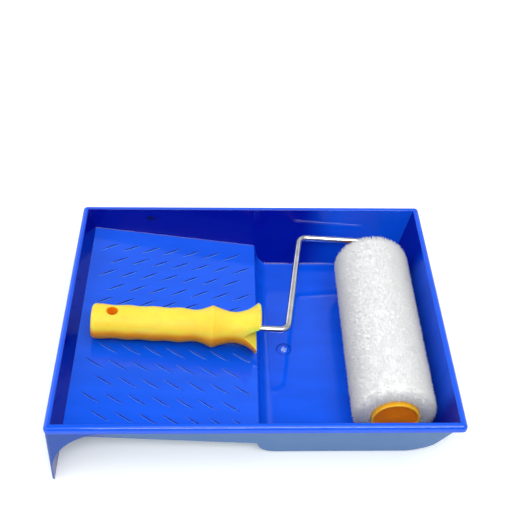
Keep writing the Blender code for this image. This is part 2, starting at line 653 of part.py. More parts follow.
def main():
    clear_scene()
    blue = surface("tray_blue", (0.01, 0.08, 0.75), 0.3)
    yellow = surface("grip_yellow", (0.95, 0.6, 0.03), 0.35)
    orange = surface("cap_orange", (0.9, 0.3, 0.01), 0.35)
    chrome = surface("chromed_steel", (0.8, 0.8, 0.8), 0.15, 1.0)
    steel = surface("spring_steel", (0.45, 0.45, 0.47), 0.35, 1.0)
    card = surface("core_plastic", (0.75, 0.72, 0.65), 0.6)
    pile = surface("white_pile", (0.85, 0.85, 0.83), 0.95)

    finish(build_tray(), blue)

    roller = bpy.data.objects.new("roller_frame_origin", None)
    roller.location = (AXLE_X, 0, AXLE_HEIGHT)
    roller.rotation_euler = (0, rest_tilt(), 0)
    bpy.context.scene.collection.objects.link(roller)
    finish(build_wire_frame(), chrome, roller, 40)
    finish(build_grip(), yellow, roller, 35)

    sleeve = bpy.data.objects.new("sleeve_origin", None)
    bpy.context.scene.collection.objects.link(sleeve)
    sleeve.parent = roller
    finish(build_core_tube(), card, sleeve, 35)
    finish(build_plush_cover(), pile, sleeve, 35)
    finish(build_near_cap(), orange, sleeve, 35)
    finish(build_far_cap(), orange, sleeve, 35)
    finish(build_push_nut(), steel, sleeve, 35)


main()
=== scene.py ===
"""Looks of the paint roller tray: a glossy blue tray, its roller lying in it, on a white floor."""
import math

import bmesh
import bpy
import numpy as np
from mathutils import Matrix, Vector, noise


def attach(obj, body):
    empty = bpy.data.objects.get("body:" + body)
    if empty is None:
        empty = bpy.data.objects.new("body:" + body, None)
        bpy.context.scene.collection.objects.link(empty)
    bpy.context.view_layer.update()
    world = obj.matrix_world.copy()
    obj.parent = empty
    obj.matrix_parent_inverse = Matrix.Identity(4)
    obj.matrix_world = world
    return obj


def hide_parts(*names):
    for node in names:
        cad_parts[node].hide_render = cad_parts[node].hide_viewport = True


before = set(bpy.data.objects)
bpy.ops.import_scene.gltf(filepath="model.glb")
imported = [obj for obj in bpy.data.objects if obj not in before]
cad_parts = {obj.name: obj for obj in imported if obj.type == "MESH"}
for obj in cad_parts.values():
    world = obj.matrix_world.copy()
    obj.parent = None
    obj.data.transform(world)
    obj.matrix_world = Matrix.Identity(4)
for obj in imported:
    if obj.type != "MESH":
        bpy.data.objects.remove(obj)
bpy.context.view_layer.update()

# The tray is one injection moulding in glossy blue plastic: a rounded rim, a ramp that steps
# down into the well, a rounded well end, and a skirt with two swept legs under the ramp end.
MM = 0.001
WALL = 2.3 * MM
FLOOR_DEPTH = 57 * MM
RIM_TOP = FLOOR_DEPTH + WALL
RIM_LENGTH = 320 * MM
RIM_WIDTH = 255 * MM
RIM_HEIGHT = 5.5 * MM
RIM_EDGE_RADIUS = 3.4 * MM
RIM_CORNER_RADIUS = 4 * MM
LIP_WIDTH = 5.3 * MM
LIP_RADIUS = 1 * MM
LIP_TOOL_DEPTH = 1.2 * LIP_RADIUS
LIP_TOOL_INSET = 0.3 * MM
LIP_TOOL_SLOPE = 0.3
LIP_ANGLES = (190, 205, 220, 235, 250, 262)
SIDE_DRAFT = 0.26
END_DRAFT = 0.295
LIP_END_X = RIM_LENGTH / 2 - LIP_WIDTH
LIP_SIDE_Y = RIM_WIDTH / 2 - LIP_WIDTH
RAMP_TOP_DEPTH = 18.8 * MM
RAMP_TOP_X = RAMP_TOP_DEPTH * END_DRAFT - LIP_END_X
RAMP_FOOT_X = 2.8 * MM
STEP_HEIGHT = 19.4 * MM
RAMP_FOOT_DEPTH = FLOOR_DEPTH - STEP_HEIGHT
RAMP_SLOPE = (RAMP_FOOT_DEPTH - RAMP_TOP_DEPTH) / (RAMP_FOOT_X - RAMP_TOP_X)
STEP_DRAFT = 0.2
STEP_FILLET = 12 * MM
EDGE_RADIUS = 1 * MM
FLOOR_CORNER_RADIUS = 3 * MM
LARGEST_CORNER_SHARE = 0.6
END_CORNER_RADIUS = 6 * MM
END_FILLET = 22 * MM
END_FILLET_DEPTH = FLOOR_DEPTH - END_FILLET
END_FILLET_X = LIP_END_X - END_FILLET_DEPTH * END_DRAFT - END_FILLET * math.hypot(1, END_DRAFT)
SKIRT_INSET = 0.8 * MM
SKIRT_SPLAY = 5.2 * MM
SKIRT_CORNER_RADIUS = 3 * MM
LEG_LENGTH = 52 * MM
LEG_ARCH_DEPTH = 48 * MM
LEG_ARCH_INTO_RIM = 0.5 * MM
LEG_ARCH_RISE = LEG_ARCH_DEPTH - RIM_HEIGHT + LEG_ARCH_INTO_RIM
LEG_ARCH_X = LEG_LENGTH - RIM_LENGTH / 2
GATE = (27.5 * MM, -2.5 * MM)
GATE_RING = 6.9 * MM
GATE_CUT_PAST = 0.05 * MM
GATE_SINK = 0.7 * MM
GATE_NUB = 3.4 * MM
GATE_DOME = 0.9 * MM
GATE_STUB_FOOT = 0.9 * MM
GATE_STUB_TIP = 0.7 * MM
GATE_STUB_HEIGHT = 1.5 * MM
NUB_ANGLES = (15, 30, 45, 60, 75)
CUT_PAST = 5 * MM
FOOT_STEPS = 4
CORNER_STEPS = 8
STEP_FILLET_STEPS = 14
END_FILLET_STEPS = 30
CORNER_GROWTH_STEPS = 12
ARCH_STEPS = 30
GATE_FACETS = 48


def arc(centre, radius, start, end, steps):
    """Points on a circle in a plane, both ends included, angles in degrees."""
    angles = [math.radians(start + (end - start) * i / steps) for i in range(steps + 1)]
    return [(centre[0] + radius * math.cos(a), centre[1] + radius * math.sin(a)) for a in angles]


def add_piece(name, build):
    """Make a mesh object from a bmesh, with its faces turned outward."""
    bmesh.ops.recalc_face_normals(build, faces=build.faces)
    mesh = bpy.data.meshes.new(name)
    build.to_mesh(mesh)
    build.free()
    item = bpy.data.objects.new(name, mesh)
    bpy.context.scene.collection.objects.link(item)
    return item


def skin(build, rings):
    """Skin a row of rings with equal point counts and close both ends."""
    rows = [[build.verts.new(point) for point in ring] for ring in rings]
    count = len(rows[0])
    for row, following in zip(rows, rows[1:]):
        for i in range(count):
            j = (i + 1) % count
            build.faces.new((row[i], row[j], following[j], following[i]))
    build.faces.new(rows[0])
    build.faces.new(rows[-1])


def loft(name, rings):
    """One solid skinned over a row of rings."""
    build = bmesh.new()
    skin(build, rings)
    return add_piece(name, build)


def prism(name, outline, reach):
    """A solid with the same (x, z) outline from one side to the other, reach each way in Y."""
    return loft(name, [[(x, y, z) for x, z in outline] for y in (-reach, reach)])


def turn(name, profile, facets, axis, closed=False):
    """Turn a profile of (radius, along) points about X, Y or Z; radius zero ends on the axis."""
    build = bmesh.new()
    rows = []
    for radius, along in profile:
        row = []
        for i in range(facets if radius > 0 else 1):
            angle = math.tau * i / facets
            side = radius * math.cos(angle)
            up = radius * math.sin(angle)
            spot = {"X": (along, side, up), "Y": (side, along, up), "Z": (side, up, along)}[axis]
            row.append(build.verts.new(spot))
        rows.append(row)
    pairs = list(zip(rows, rows[1:]))
    if closed:
        pairs.append((rows[-1], rows[0]))
    for row, following in pairs:
        for i in range(facets):
            j = (i + 1) % facets
            corners = [row[i % len(row)], row[j % len(row)],
                       following[j % len(following)], following[i % len(following)]]
            build.faces.new(list(dict.fromkeys(corners)))
    return add_piece(name, build)


def combine(body, tool, operation):
    """Join a tool to a piece, or cut it away, and drop the tool."""
    step = body.modifiers.new(operation, "BOOLEAN")
    step.operation = operation
    step.solver = "EXACT"
    step.object = tool
    bpy.context.view_layer.update()
    shaped = body.evaluated_get(bpy.context.evaluated_depsgraph_get())
    mesh = bpy.data.meshes.new_from_object(shaped)
    body.modifiers.clear()
    body.data = mesh
    bpy.data.objects.remove(tool, do_unlink=True)


def shade(item, angle):
    """Smooth shading that keeps edges over the angle sharp and flat faces flat."""
    item.data.shade_smooth()
    item.data.set_sharp_from_angle(angle=math.radians(angle))
    weighted = item.modifiers.new("weighted_normals", "WEIGHTED_NORMAL")
    weighted.keep_sharp = True


def place(item, body, material, replaced=None):
    """Give a piece its material, the body that carries it and the CAD node it stands for."""
    item.data.materials.clear()
    item.data.materials.append(material)
    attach(item, body)
    if replaced:
        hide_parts(replaced)


def rounded_rectangle(half_x, half_y, radius, height):
    """Ring of points round a rectangle with rounded corners."""
    ring = []
    for sign_x, sign_y, start in ((1, 1, 0), (-1, 1, 90), (-1, -1, 180), (1, -1, 270)):
        centre = (sign_x * (half_x - radius), sign_y * (half_y - radius))
        corner = arc(centre, radius, start, start + 90, CORNER_STEPS)
        ring += [(x, y, height) for x, y in corner]
    return ring


def foot_edge():
    """Small rounding where the ramp's surface turns down into the step."""
    along = Vector((1, RAMP_SLOPE)).normalized()
    ramp_lean = math.degrees(math.atan(RAMP_SLOPE))
    step_lean = math.degrees(math.atan(STEP_DRAFT))
    back = EDGE_RADIUS * math.tan(math.radians(90 - step_lean - ramp_lean) / 2)
    start = Vector((RAMP_FOOT_X, RAMP_FOOT_DEPTH)) - along * back
    centre = start + Vector((-along.y, along.x)) * EDGE_RADIUS
    return arc(centre, EDGE_RADIUS, ramp_lean - 90, -step_lean, FOOT_STEPS)


def tray_profile(foot):
    """Inside of the tray along its middle: (x, depth, corner radius) from ramp end to well end."""
    above = CUT_PAST / 2
    points = [(-LIP_END_X - above * END_DRAFT, -above, EDGE_RADIUS),
              (RAMP_TOP_X, RAMP_TOP_DEPTH, EDGE_RADIUS)]
    points += [(x, depth, EDGE_RADIUS) for x, depth in foot]
    step_lean = math.degrees(math.atan(STEP_DRAFT))
    fillet_depth = FLOOR_DEPTH - STEP_FILLET
    fillet_x = (RAMP_FOOT_X + (fillet_depth - RAMP_FOOT_DEPTH) * STEP_DRAFT
                + STEP_FILLET * math.hypot(1, STEP_DRAFT))
    step_curve = arc((fillet_x, fillet_depth), STEP_FILLET, 180 - step_lean, 90, STEP_FILLET_STEPS)
    points += [(x, depth, FLOOR_CORNER_RADIUS) for x, depth in step_curve]
    end_lean = math.degrees(math.atan(END_DRAFT))
    end_curve = arc((END_FILLET_X, END_FILLET_DEPTH), END_FILLET, 90, end_lean, END_FILLET_STEPS)
    for i, (x, depth) in enumerate(end_curve):
        growth = min(1.0, i / CORNER_GROWTH_STEPS)
        radius = FLOOR_CORNER_RADIUS + growth * (END_CORNER_RADIUS - FLOOR_CORNER_RADIUS)
        points.append((x, depth, radius))
    points.append((LIP_END_X + above * END_DRAFT, -above, FLOOR_CORNER_RADIUS))
    return points


def offset_profile(points, distance):
    """Move a profile outward (down and away) by the wall thickness, mitred at its corners."""
    moved = []
    for i, (x, depth, radius) in enumerate(points):
        before = points[max(i - 1, 0)]
        after = points[min(i + 1, len(points) - 1)]
        normals = []
        for start, end in ((before, points[i]), (points[i], after)):
            run = Vector((end[0] - start[0], end[1] - start[1]))
            if run.length > 0:
                normals.append(Vector((-run.y, run.x)).normalized())
        mitre = sum(normals, Vector((0, 0))).normalized()
        reach = distance / mitre.dot(normals[0])
        moved.append((x + mitre.x * reach, depth + mitre.y * reach, radius + distance))
    return moved


def basin_section(x, depth, corner_radius, side_at_rim, top_depth):
    """Cross-section of the basin at one x: a drafted trough with rounded lower corners."""
    radius = min(corner_radius, (depth - top_depth) * LARGEST_CORNER_SHARE)
    lean = math.degrees(math.atan(SIDE_DRAFT))
    floor_half = side_at_rim - depth * SIDE_DRAFT
    inset = radius * (math.hypot(1, SIDE_DRAFT) - SIDE_DRAFT)
    half = [(side_at_rim - top_depth * SIDE_DRAFT, top_depth)]
    half += arc((floor_half - inset, depth - radius), radius, lean, 90, CORNER_STEPS)
    ring = [(x, y, RIM_TOP - d) for y, d in half]
    return ring + [(x, -y, z) for _, y, z in reversed(ring)]


def rim_plate():
    """The rim as a plate with a rounded outer edge; the basin is cut from it later."""
    half_x = RIM_LENGTH / 2
    half_y = RIM_WIDTH / 2
    rings = [rounded_rectangle(half_x, half_y, RIM_CORNER_RADIUS, RIM_TOP - RIM_HEIGHT)]
    for inset, rise in arc((RIM_EDGE_RADIUS, 0), RIM_EDGE_RADIUS, 180, 90, CORNER_STEPS):
        rings.append(rounded_rectangle(half_x - inset, half_y - inset, RIM_CORNER_RADIUS - inset,
                                       RIM_TOP - RIM_EDGE_RADIUS + rise))
    return loft("tray_shell", rings)


def bowl():
    """Outside of the basin: its inner profile moved out by the wall, ending inside the rim."""
    outside = offset_profile(tray_profile([(RAMP_FOOT_X, RAMP_FOOT_DEPTH)]), WALL)
    top = RIM_HEIGHT / 2
    ends = (RIM_HEIGHT + top) / 2
    wall_x = LIP_END_X + WALL * math.hypot(1, END_DRAFT) - ends * END_DRAFT
    outside[0] = (-wall_x, ends, EDGE_RADIUS)
    outside[-1] = (wall_x, ends, EDGE_RADIUS)
    return loft("bowl", [basin_section(*point, LIP_SIDE_Y + WALL, top) for point in outside])


def lip_rounding():
    """Tool that rounds the inner edge of the rim: rectangles stacked along a quarter circle."""
    outline = [(-LIP_TOOL_INSET, LIP_TOOL_DEPTH)]
    for degrees in LIP_ANGLES:
        angle = math.radians(degrees)
        outline.append((LIP_RADIUS * (1 + math.cos(angle)), LIP_RADIUS * (1 + math.sin(angle))))
    last_out, last_depth = outline[-1]
    outline.append((last_out + CUT_PAST, last_depth - CUT_PAST * LIP_TOOL_SLOPE))
    rings = []
    for out, depth in outline:
        half_x = LIP_END_X - LIP_TOOL_DEPTH * END_DRAFT + out
        half_y = LIP_SIDE_Y - LIP_TOOL_DEPTH * SIDE_DRAFT + out
        corners = ((half_x, half_y), (-half_x, half_y), (-half_x, -half_y), (half_x, -half_y))
        rings.append([(x, y, RIM_TOP - depth) for x, y in corners])
    return loft("lip_rounding", rings)


def skirt_ring(end_x, side_y, height):
    """Outline of the skirt's wall at one height: a U open toward the well."""
    corner_x = end_x + SKIRT_CORNER_RADIUS
    corner_y = side_y - SKIRT_CORNER_RADIUS
    open_x = LEG_ARCH_X + WALL
    outline = [(open_x, -side_y)]
    outline += arc((corner_x, -corner_y), SKIRT_CORNER_RADIUS, 270, 180, CORNER_STEPS)
    outline += arc((corner_x, corner_y), SKIRT_CORNER_RADIUS, 180, 90, CORNER_STEPS)
    outline += [(open_x, side_y), (open_x, side_y - WALL)]
    inner_radius = SKIRT_CORNER_RADIUS - WALL
    outline += arc((corner_x, corner_y), inner_radius, 90, 180, CORNER_STEPS // 2)
    outline += arc((corner_x, -corner_y), inner_radius, 180, 270, CORNER_STEPS // 2)
    outline.append((open_x, -side_y + WALL))
    return [(x, y, height) for x, y in outline]


def skirt():
    """End skirt with front and back aprons that splay to the ground, cut to swept legs."""
    top = skirt_ring(SKIRT_INSET - RIM_LENGTH / 2, RIM_WIDTH / 2 - SKIRT_INSET,
                     RIM_TOP - RIM_HEIGHT / 2)
    ground = skirt_ring(-RIM_LENGTH / 2, RIM_WIDTH / 2 + SKIRT_SPLAY, 0)
    item = loft("skirt", [top, ground])
    run = LEG_LENGTH - WALL
    foot = RIM_TOP - LEG_ARCH_DEPTH
    outline = []
    for step in range(ARCH_STEPS + 1):
        angle = math.radians(90 * step / ARCH_STEPS)
        outline.append((LEG_ARCH_X - run * math.cos(angle), foot + LEG_ARCH_RISE * math.sin(angle)))
    beyond = LEG_ARCH_X + WALL + CUT_PAST
    outline += [(beyond, outline[-1][1]), (beyond, -CUT_PAST), (outline[0][0], -CUT_PAST)]
    arch = prism("leg_arch", outline, RIM_WIDTH / 2 + SKIRT_SPLAY + CUT_PAST)
    combine(item, arch, "DIFFERENCE")
    return item


def mark_gate(tray):
    """Sink the gate mark in the well floor: a round recess, a domed nub and its torn stub."""
    sunk = WALL - GATE_SINK
    recess = [(0, sunk), (GATE_RING - GATE_SINK, sunk), (GATE_RING, WALL + GATE_CUT_PAST),
              (GATE_RING + GATE_SINK, WALL + CUT_PAST), (0, WALL + CUT_PAST)]
    nub = [(0, WALL / 2), (GATE_NUB, WALL / 2), (GATE_NUB, sunk)]
    for degrees in NUB_ANGLES:
        angle = math.radians(degrees)
        nub.append((GATE_NUB * math.cos(angle), sunk + GATE_DOME * math.sin(angle)))
    stub_top = sunk + GATE_STUB_HEIGHT
    nub += [(GATE_STUB_FOOT, sunk + GATE_DOME), (GATE_STUB_TIP, stub_top), (0, stub_top)]
    for profile, operation in ((recess, "DIFFERENCE"), (nub, "UNION")):
        tool = turn("gate", profile, GATE_FACETS, "Z")
        tool.location = (*GATE, 0)
        combine(tray, tool, operation)


def tray_shell():
    """Rim, bowl and skirt joined, the basin cut out, its lip rounded and the gate mark sunk."""
    inside = tray_profile(foot_edge())
    tray = rim_plate()
    combine(tray, bowl(), "UNION")
    combine(tray, skirt(), "UNION")
    basin = loft("basin", [basin_section(*point, LIP_SIDE_Y, -CUT_PAST) for point in inside])
    combine(tray, basin, "DIFFERENCE")
    combine(tray, lip_rounding(), "DIFFERENCE")
    mark_gate(tray)
    return tray


class Field:
    """A shader value: arithmetic on fields adds Math nodes, and node() adds any other node."""

    def __init__(self, tree, socket):
        self.tree = tree
        self.socket = socket

    def node(self, kind, settings, inputs, output=0):
        """Add a node of this kind to the same tree and give one of its outputs."""
        added = self.tree.nodes.new(kind)
        for name, value in settings.items():
            setattr(added, name, value)
        for name, value in inputs.items():
            if isinstance(value, Field):
                self.tree.links.new(value.socket, added.inputs[name])
            else:
                added.inputs[name].default_value = value
        return Field(self.tree, added.outputs[output])

    def maths(self, operation, *others):
        """A Math node on this field and the others, which are fields or numbers."""
        values = dict(enumerate((self, *others)))
        return self.node("ShaderNodeMath", {"operation": operation}, values)

    def __add__(self, other):
        return self.maths("ADD", other)

    def __sub__(self, other):
        return self.maths("SUBTRACT", other)

    def __rsub__(self, other):
        return self.node("ShaderNodeMath", {"operation": "SUBTRACT"}, {0: other, 1: self})

    def __mul__(self, other):
        return self.maths("MULTIPLY", other)

    __radd__ = __add__
    __rmul__ = __mul__

    def vector_maths(self, operation, other, output="Vector"):
        """A Vector Math node on these coordinates and another vector."""
        settings = {"operation": operation}
        return self.node("ShaderNodeVectorMath", settings, {0: self, 1: other}, output)

    def stretch(self, x, y, z):
        """These coordinates with each axis scaled."""
        return self.vector_maths("MULTIPLY", (x, y, z))

    def dot(self, other):
        """Dot product with another vector."""
        return self.vector_maths("DOT_PRODUCT", other, "Value")

    def distance(self, point):
        """Distance of these coordinates from a point."""
        return self.vector_maths("DISTANCE", point, "Value")

    def part(self, axis):
        """One coordinate of a vector."""
        return self.node("ShaderNodeSeparateXYZ", {}, {"Vector": self}, axis)

    def facing(self):
        """The direction that the surface faces."""
        return self.node("ShaderNodeNewGeometry", {}, {}, "Normal")

    def noise(self, scale, detail=2.0):
        """Noise over these coordinates, about 0.5 on average; scale is in turns per metre."""
        inputs = {"Vector": self, "Scale": scale, "Detail": detail}
        return self.node("ShaderNodeTexNoise", {}, inputs)

    def ramp(self, low, high):
        """Zero below low, one above high, smooth between."""
        return self.node("ShaderNodeMapRange", {"interpolation_type": "SMOOTHSTEP"},
                         {"Value": self, "From Min": low, "From Max": high})

    def mix(self, first, second):
        """Colour between two colours by this field, on the Mix node's numbered colour sockets."""
        return self.node("ShaderNodeMix", {"data_type": "RGBA"}, {0: self, 6: first, 7: second}, 2)

    def bump(self, height):
        """Normal that shows this field as relief of the given height in metres."""
        inputs = {"Height": self, "Distance": height, "Strength": 1.0}
        return self.node("ShaderNodeBump", {}, inputs)


def surface(name, plain, build):
    """A Principled material: plain socket values, and fields built from object coordinates."""
    material = bpy.data.materials.new(name)
    material.use_nodes = True
    tree = material.node_tree
    shader = tree.nodes["Principled BSDF"]
    for socket, value in plain.items():
        shader.inputs[socket].default_value = value
    coordinates = tree.nodes.new("ShaderNodeTexCoord")
    for socket, field in build(Field(tree, coordinates.outputs["Object"])).items():
        tree.links.new(field.socket, shader.inputs[socket])
    return material


TRAY_BLUES = ((0.0013, 0.086, 0.74, 1), (0.0026, 0.098, 0.82, 1))
# Painted shade on the inner walls.
INNER_WALL_SHADE_BLUE = (0.0003, 0.005, 0.30, 1)
# Painted shade and floor reflection on the legs.
LEG_SHADE_REFLECTION_BLUE = (0.0005, 0.060, 0.36, 1)
# Painted shade and floor reflection on the outer walls.
OUTER_WALL_SHADE_REFLECTION_BLUE = (0.005, 0.125, 0.37, 1)
# Painted highlight on the gate nub.
TORN_NUB_HIGHLIGHT_BLUE = (0.42, 0.56, 0.90, 1)
# Painted shadow in the gate's ring.
GATE_RING_SHADOW_BLUE = (0.0005, 0.020, 0.30, 1)
SCUFF_BLACK = (0.002, 0.003, 0.012, 1)
SCUFF_SQUEEZE = (0.55, 1, 1)
SCUFF_AT_SQUEEZED = (-0.0524, 0.1199, 0.0500)
PIN_MARK_AT = (-0.1414, -0.0989, 0)
PLASTIC_IOR = 1.5


def moulded_blue(where):
    """The plastic's blue with faint flow streaks."""
    streaks = where.stretch(14, 60, 30).noise(1.0, 3.0)
    return streaks.ramp(0.3, 0.7).mix(*TRAY_BLUES)


def moulded_gloss(where):
    """Roughness of the glossy side, a little uneven."""
    return where.noise(55, 4.0) * 0.08 + where.noise(1400, 1.0) * 0.04 + 0.02


def tray_fields(where):
    """Blue with painted shade on the inner walls, painted shade and floor reflection on the satin
    outside, and moulding marks.
    """
    x = where.part("X")
    y = where.part("Y")
    plan = where.stretch(1, 1, 0)
    facing = where.facing()
    away = facing.dot(plan)
    inner = (away * -1).ramp(0.03, 0.06)
    end_wall = (facing.part("X") * -1).ramp(0.5, 0.8)
    # Painted shade: the inner walls are darkened, less toward the well end of the side walls. The
    # well end is darkened mostly at its back and front corners, a painted dark reflection of the
    # walls it faces.
    end_corner_painted_reflection = y.ramp(0.050, 0.075) + 1 - y.ramp(-0.105, -0.085)
    side_wall_painted_shade = 1 - x.ramp(0.045, 0.085) * 0.8
    painted_wall_shade = inner * ((1 - end_wall) * side_wall_painted_shade + end_wall * (end_corner_painted_reflection * 0.75 + 0.25))
    below = (facing.part("Z") * -1).ramp(0.1, 0.3)
    under_rim = 1 - where.part("Z").ramp(0.0525, 0.0535)
    # Painted light outside: below the rim the outer walls take a greyer blue for painted shade and
    # the white floor's reflection, and the legs a darker one. The same mask makes the outside
    # satin.
    outer = away.ramp(0.03, 0.06).maths("MAXIMUM", below) * under_rim
    from_gate = plan.distance((*GATE, 0))
    # Painted highlight: the torn nub is paled as where it catches the light, and is made rougher.
    torn = (1 - from_gate.ramp(0.0022, 0.0036)) * where.noise(600, 2.0).ramp(0.40, 0.56)
    # Painted shadow in the ring round the gate's recess.
    gate_ring_painted_shadow = from_gate.ramp(0.0050, 0.0062) - from_gate.ramp(0.0068, 0.0074)
    from_scuff = where.stretch(*SCUFF_SQUEEZE).distance(SCUFF_AT_SQUEEZED)
    scuff = (1 - from_scuff.ramp(0.0012, 0.0042)) * where.noise(420, 2.0).ramp(0.42, 0.55)
    from_pin = plan.distance(PIN_MARK_AT)
    pin_mark = from_pin.ramp(0.0026, 0.0029) - from_pin.ramp(0.0031, 0.0034)
    colour = painted_wall_shade.mix(moulded_blue(where), INNER_WALL_SHADE_BLUE)
    colour = outer.mix(colour, x.ramp(-0.125, -0.105).mix(LEG_SHADE_REFLECTION_BLUE, OUTER_WALL_SHADE_REFLECTION_BLUE))
    colour = torn.mix(colour, TORN_NUB_HIGHLIGHT_BLUE)
    colour = (gate_ring_painted_shadow * 0.6).mix(colour, GATE_RING_SHADOW_BLUE)
    colour = scuff.mix(colour, SCUFF_BLACK)
    gloss = moulded_gloss(where) + outer * 0.25 + torn * 0.3
    relief = where.noise(900, 2.0) * 0.3 + where.noise(90, 2.0) * 0.7 + pin_mark * 0.8
    return {"Base Color": colour, "Roughness": gloss, "Normal": relief.bump(0.03 * MM)}


tray = tray_shell()
shade(tray, 28)
tray_plastic = surface("tray_plastic", {"IOR": PLASTIC_IOR}, tray_fields)
place(tray, "tray", tray_plastic, "tray")

# The ribs on the ramp are moulded with the tray, in the same blue plastic: slanted ridges that
# thin out at both ends, in two mirrored halves of staggered rows. The roller is wrung out there.
RIB_LENGTH = 20 * MM
RIB_ANGLE = math.radians(31.5)
RIB_WIDTH = 2.4 * MM
RIB_HEIGHT = 1.6 * MM
RIB_ROOT = 0.8 * MM
RIB_SECTION = ((-0.5, 0), (-0.32, 0.6), (-0.14, 0.93), (0, 1), (0.14, 0.93), (0.32, 0.6), (0.5, 0))
RIB_TIP_SHARE = 0.05
RIB_FULLNESS = 0.7
RIB_STEPS = 14
RIB_PITCH_X = 18.75 * MM
RIB_PITCH_Y = 17.2 * MM
RIB_FIRST_X = RAMP_TOP_X + 8.3 * MM
RIB_FIRST_Y = 4.4 * MM
RIB_CENTRE_Y = -3 * MM
RIB_ROWS = 6
RIBS_PER_ROW = 7
# Painted shade on the ribs' flanks.
RIB_FLANK_SHADE_BLUE = (0.0003, 0.006, 0.26, 1)
# Painted highlight along the ribs' feet.
RIB_FOOT_HIGHLIGHT_BLUE = (0.10, 0.36, 0.95, 1)


def ramp_height(x):
    """Height of the ramp's surface at one x."""
    return RIM_TOP - RAMP_TOP_DEPTH - (x - RAMP_TOP_X) * RAMP_SLOPE


def rib_rings(start_x, start_y, away):
    """Rings of one slanted rib, with its root sunk in the ramp."""
    rings = []
    along = Vector((math.cos(RIB_ANGLE), away * math.sin(RIB_ANGLE)))
    across = Vector((-along.y, along.x))
    for step in range(RIB_STEPS + 1):
        share = step / RIB_STEPS
        swell = RIB_TIP_SHARE + (1 - RIB_TIP_SHARE) * math.sin(math.pi * share) ** RIB_FULLNESS
        middle = Vector((start_x, start_y)) + along * (RIB_LENGTH * share)
        section = [(side, rise * RIB_HEIGHT * swell) for side, rise in RIB_SECTION]
        ring = []
        for side, rise in ((-0.5, -RIB_ROOT), *section, (0.5, -RIB_ROOT)):
            spot = middle + across * (side * RIB_WIDTH * swell)
            ring.append((spot.x, spot.y, ramp_height(spot.x) + rise))
        rings.append(ring)
    return rings


def rib_fields(where):
    """The tray's blue and gloss, with painted shade on the ribs' flanks and a painted highlight
    along each foot.
    """
    upright = where.facing().part("Z")
    # Painted shade on the steep flanks, and a painted highlight on the steepest part at each foot.
    flank_painted_shade = 1 - upright.ramp(0.60, 0.93)
    foot = 1 - upright.ramp(0.34, 0.46)
    colour = flank_painted_shade.mix(moulded_blue(where), RIB_FLANK_SHADE_BLUE)
    colour = foot.mix(colour, RIB_FOOT_HIGHLIGHT_BLUE)
    relief = where.noise(900, 2.0)
    return {"Base Color": colour, "Roughness": moulded_gloss(where),
            "Normal": relief.bump(0.02 * MM)}


rib_build = bmesh.new()
for away in (1, -1):
    for row in range(RIB_ROWS):
        start_x = RIB_FIRST_X
        if (row % 2 == 0) == (away > 0):
            start_x += RIB_PITCH_X / 2
        start_y = RIB_CENTRE_Y + away * (RIB_FIRST_Y + row * RIB_PITCH_Y)
        for i in range(RIBS_PER_ROW):
            skin(rib_build, rib_rings(start_x + i * RIB_PITCH_X, start_y, away))
ribs = add_piece("ramp_ribs", rib_build)
shade(ribs, 60)
place(ribs, "tray", surface("rib_plastic", {"IOR": PLASTIC_IOR}, rib_fields))

# The wire frame is one plated steel rod, bent cold: a tang in the grip, a leaning arm, a
# crossbar and the axle that the sleeve turns on. It lies tilted, with the grip on the ramp.
AXLE = Vector((110.051, 0, 37.3)) * MM
TILT = math.radians(4.206)
to_world = Matrix.Translation(AXLE) @ Matrix.Rotation(TILT, 4, "Y")
ROD_RADIUS = 3 * MM
ROD_CHAMFER = 0.7 * MM
ROD_FACETS = 32
GRIP_Y = -15.5 * MM
GRIP_BELOW_RAMP_TOP = 12.2 * MM
GRIP_BUTT_X = RAMP_TOP_X + GRIP_BELOW_RAMP_TOP - AXLE.x
GRIP_LENGTH = 141.3 * MM
GRIP_MOUTH_X = GRIP_BUTT_X + GRIP_LENGTH
TANG_LENGTH = 57 * MM
ROD_STUB_LENGTH = 24 * MM
ARM_LEAN = 16.5 * MM
ARM_FOOT_X = GRIP_MOUTH_X + ROD_STUB_LENGTH
ARM_TOP_X = ARM_FOOT_X + ARM_LEAN
CROSSBAR_Y = 101.88 * MM
AXLE_TIP_Y = -100.68 * MM
BENDS = (8 * MM, 8 * MM, 10 * MM)
BEND_STEPS = 16
PLATING_GREYS = ((0.78, 0.79, 0.80, 1), (0.66, 0.67, 0.69, 1))


def rounded_path(corners, radii):
    """Path in a plane with rounded corners, as (point, direction) pairs."""
    path = [(corners[0], (corners[1] - corners[0]).normalized())]
    for before, corner, after, radius in zip(corners, corners[1:], corners[2:], radii):
        inward = (corner - before).normalized()
        outward = (after - corner).normalized()
        turn_angle = inward.angle_signed(outward)
        spot = corner - inward * (radius * math.tan(abs(turn_angle) / 2))
        side = Vector((-inward.y, inward.x)) * (-1 if turn_angle > 0 else 1)
        centre = spot + side * radius
        for step in range(BEND_STEPS + 1):
            swing = Matrix.Rotation(-turn_angle * step / BEND_STEPS, 2)
            path.append((centre + swing @ (spot - centre), swing @ inward))
    path.append((corners[-1], (corners[-1] - corners[-2]).normalized()))
    return path


def rod_ring(spot, heading, radius):
    """Ring of points round the rod at one spot, square to its heading."""
    ring = []
    for i in range(ROD_FACETS):
        angle = math.tau * i / ROD_FACETS
        side = radius * math.cos(angle)
        up = radius * math.sin(angle)
        ring.append((spot.x - heading.y * side, spot.y + heading.x * side, up))
    return ring


def rod_fields(where):
    """Bright plating, a little uneven, with a slightly milky bloom."""
    bloom = where.noise(120, 3.0)
    colour = bloom.ramp(0.35, 0.7).mix(*PLATING_GREYS)
    gloss = bloom * 0.12 + where.noise(1500, 2.0) * 0.05 + 0.08
    relief = where.noise(1100, 2.0)
    return {"Base Color": colour, "Roughness": gloss, "Normal": relief.bump(0.01 * MM)}


